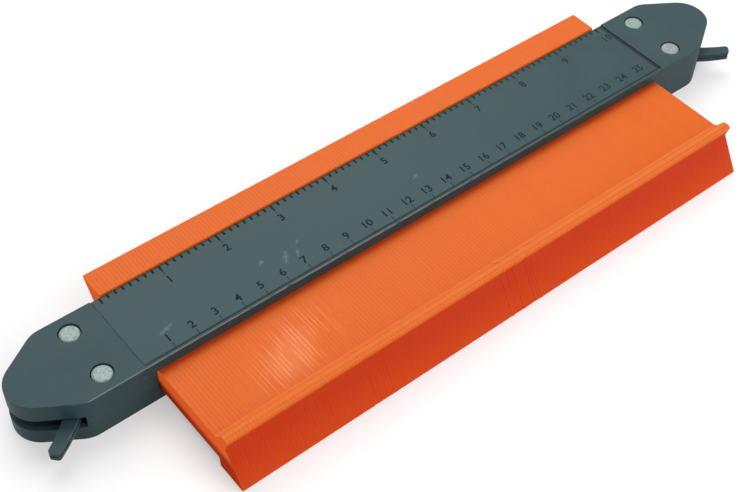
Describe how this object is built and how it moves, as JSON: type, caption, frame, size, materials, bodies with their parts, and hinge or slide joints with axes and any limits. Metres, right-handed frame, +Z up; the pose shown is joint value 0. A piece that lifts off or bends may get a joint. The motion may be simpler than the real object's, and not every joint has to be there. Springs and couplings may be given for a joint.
{
  "type": "contour gauge",
  "caption": "Profile-copying gauge with a bank of flat sliding leaves between two ruled covers, clamped at each end by a cam lever.",
  "frame": {"origin": "centre of the flat underside of the bottom cover, on the surface that the gauge lies on", "axes": "+X along the ruler toward its high end, -Y toward the probing edges of the leaves, +Z up through the ruler face"},
  "size_m": [0.3494, 0.0999, 0.0207],
  "materials": {
    "housing_plastic": "dark slate moulded ABS with a fine satin grain",
    "lever_plastic": "dark slate moulded nylon, satin",
    "leaf_plastic": "orange moulded ABS with fine lengthwise lines",
    "block_plastic": "black acetal, satin",
    "pin_steel": "ground steel pin",
    "screw_zinc": "dull mottled zinc plate",
    "nut_zinc": "dull zinc plate"
  },
  "bodies": {
    "housing": {"top_cover": "housing_plastic", "bottom_cover": "housing_plastic", "left_pivot_pin": "pin_steel", "right_pivot_pin": "pin_steel", "cover_screws": "screw_zinc", "hex_nuts": "nut_zinc"},
    "left_lock_lever": {"left_lever": "lever_plastic"},
    "right_lock_lever": {"right_lever": "lever_plastic"},
    "left_clamp": {"left_clamp_block": "block_plastic"},
    "right_clamp": {"right_clamp_block": "block_plastic"},
    "leaves_01": {"leaf_bank_01": "leaf_plastic"},
    "leaves_02": {"leaf_bank_02": "leaf_plastic"},
    "leaves_03": {"leaf_bank_03": "leaf_plastic"},
    "leaves_04": {"leaf_bank_04": "leaf_plastic"},
    "leaves_05": {"leaf_bank_05": "leaf_plastic"},
    "leaves_06": {"leaf_bank_06": "leaf_plastic"},
    "leaves_07": {"leaf_bank_07": "leaf_plastic"},
    "leaves_08": {"leaf_bank_08": "leaf_plastic"},
    "leaves_09": {"leaf_bank_09": "leaf_plastic"},
    "leaves_10": {"leaf_bank_10": "leaf_plastic"},
    "leaves_11": {"leaf_bank_11": "leaf_plastic"},
    "leaves_12": {"leaf_bank_12": "leaf_plastic"},
    "leaves_13": {"leaf_bank_13": "leaf_plastic"},
    "leaves_14": {"leaf_bank_14": "leaf_plastic"},
    "leaves_15": {"leaf_bank_15": "leaf_plastic"},
    "leaves_16": {"leaf_bank_16": "leaf_plastic"},
    "leaves_17": {"leaf_bank_17": "leaf_plastic"},
    "leaves_18": {"leaf_bank_18": "leaf_plastic"},
    "leaves_19": {"leaf_bank_19": "leaf_plastic"},
    "leaves_20": {"leaf_bank_20": "leaf_plastic"},
    "leaves_21": {"leaf_bank_21": "leaf_plastic"},
    "leaves_22": {"leaf_bank_22": "leaf_plastic"},
    "leaves_23": {"leaf_bank_23": "leaf_plastic"},
    "leaves_24": {"leaf_bank_24": "leaf_plastic"},
    "leaves_25": {"leaf_bank_25": "leaf_plastic"},
    "leaves_26": {"leaf_bank_26": "leaf_plastic"},
    "leaves_27": {"leaf_bank_27": "leaf_plastic"},
    "leaves_28": {"leaf_bank_28": "leaf_plastic"}
  },
  "joints": [
    {"name": "leaf_slide_01", "type": "slide", "parent": "housing", "child": "leaves_01", "axis": [0, 1, 0], "range_m": [0, 0.033]},
    {"name": "leaf_slide_02", "type": "slide", "parent": "housing", "child": "leaves_02", "axis": [0, 1, 0], "range_m": [0, 0.033]},
    {"name": "leaf_slide_03", "type": "slide", "parent": "housing", "child": "leaves_03", "axis": [0, 1, 0], "range_m": [0, 0.033]},
    {"name": "leaf_slide_04", "type": "slide", "parent": "housing", "child": "leaves_04", "axis": [0, 1, 0], "range_m": [0, 0.033]},
    {"name": "leaf_slide_05", "type": "slide", "parent": "housing", "child": "leaves_05", "axis": [0, 1, 0], "range_m": [0, 0.033]},
    {"name": "leaf_slide_06", "type": "slide", "parent": "housing", "child": "leaves_06", "axis": [0, 1, 0], "range_m": [0, 0.033]},
    {"name": "leaf_slide_07", "type": "slide", "parent": "housing", "child": "leaves_07", "axis": [0, 1, 0], "range_m": [0, 0.033]},
    {"name": "leaf_slide_08", "type": "slide", "parent": "housing", "child": "leaves_08", "axis": [0, 1, 0], "range_m": [0, 0.033]},
    {"name": "leaf_slide_09", "type": "slide", "parent": "housing", "child": "leaves_09", "axis": [0, 1, 0], "range_m": [0, 0.033]},
    {"name": "leaf_slide_10", "type": "slide", "parent": "housing", "child": "leaves_10", "axis": [0, 1, 0], "range_m": [0, 0.033]},
    {"name": "leaf_slide_11", "type": "slide", "parent": "housing", "child": "leaves_11", "axis": [0, 1, 0], "range_m": [0, 0.033]},
    {"name": "leaf_slide_12", "type": "slide", "parent": "housing", "child": "leaves_12", "axis": [0, 1, 0], "range_m": [0, 0.033]},
    {"name": "leaf_slide_13", "type": "slide", "parent": "housing", "child": "leaves_13", "axis": [0, 1, 0], "range_m": [0, 0.033]},
    {"name": "leaf_slide_14", "type": "slide", "parent": "housing", "child": "leaves_14", "axis": [0, 1, 0], "range_m": [0, 0.033]},
    {"name": "leaf_slide_15", "type": "slide", "parent": "housing", "child": "leaves_15", "axis": [0, 1, 0], "range_m": [0, 0.033]},
    {"name": "leaf_slide_16", "type": "slide", "parent": "housing", "child": "leaves_16", "axis": [0, 1, 0], "range_m": [0, 0.033]},
    {"name": "leaf_slide_17", "type": "slide", "parent": "housing", "child": "leaves_17", "axis": [0, 1, 0], "range_m": [0, 0.033]},
    {"name": "leaf_slide_18", "type": "slide", "parent": "housing", "child": "leaves_18", "axis": [0, 1, 0], "range_m": [0, 0.033]},
    {"name": "leaf_slide_19", "type": "slide", "parent": "housing", "child": "leaves_19", "axis": [0, 1, 0], "range_m": [0, 0.033]},
    {"name": "leaf_slide_20", "type": "slide", "parent": "housing", "child": "leaves_20", "axis": [0, 1, 0], "range_m": [0, 0.033]},
    {"name": "leaf_slide_21", "type": "slide", "parent": "housing", "child": "leaves_21", "axis": [0, 1, 0], "range_m": [0, 0.033]},
    {"name": "leaf_slide_22", "type": "slide", "parent": "housing", "child": "leaves_22", "axis": [0, 1, 0], "range_m": [0, 0.033]},
    {"name": "leaf_slide_23", "type": "slide", "parent": "housing", "child": "leaves_23", "axis": [0, 1, 0], "range_m": [0, 0.033]},
    {"name": "leaf_slide_24", "type": "slide", "parent": "housing", "child": "leaves_24", "axis": [0, 1, 0], "range_m": [0, 0.033]},
    {"name": "leaf_slide_25", "type": "slide", "parent": "housing", "child": "leaves_25", "axis": [0, 1, 0], "range_m": [0, 0.033]},
    {"name": "leaf_slide_26", "type": "slide", "parent": "housing", "child": "leaves_26", "axis": [0, 1, 0], "range_m": [0, 0.033]},
    {"name": "leaf_slide_27", "type": "slide", "parent": "housing", "child": "leaves_27", "axis": [0, 1, 0], "range_m": [0, 0.033]},
    {"name": "leaf_slide_28", "type": "slide", "parent": "housing", "child": "leaves_28", "axis": [0, 1, 0], "range_m": [0, 0.033]},
    {"name": "left_lock", "type": "hinge", "parent": "housing", "child": "left_lock_lever", "pos_m": [-0.1466, 0, 0.0098], "axis": [0, 0, -1], "range_deg": [-5.5, 97.5]},
    {"name": "right_lock", "type": "hinge", "parent": "housing", "child": "right_lock_lever", "pos_m": [0.1466, 0, 0.0098], "axis": [0, 0, 1], "range_deg": [-10.5, 92.5]},
    {"name": "left_clamp", "type": "slide", "parent": "housing", "child": "left_clamp", "axis": [1, 0, 0], "range_m": [-0.0000298, 0.0005108]},
    {"name": "right_clamp", "type": "slide", "parent": "housing", "child": "right_clamp", "axis": [-1, 0, 0], "range_m": [-0.0000559, 0.0004847]}
  ],
  "couplings": [
    {"joint": "left_clamp", "follows": "left_lock", "m_per_rad": 0.0002996},
    {"joint": "right_clamp", "follows": "right_lock", "m_per_rad": 0.0002996}
  ]
}
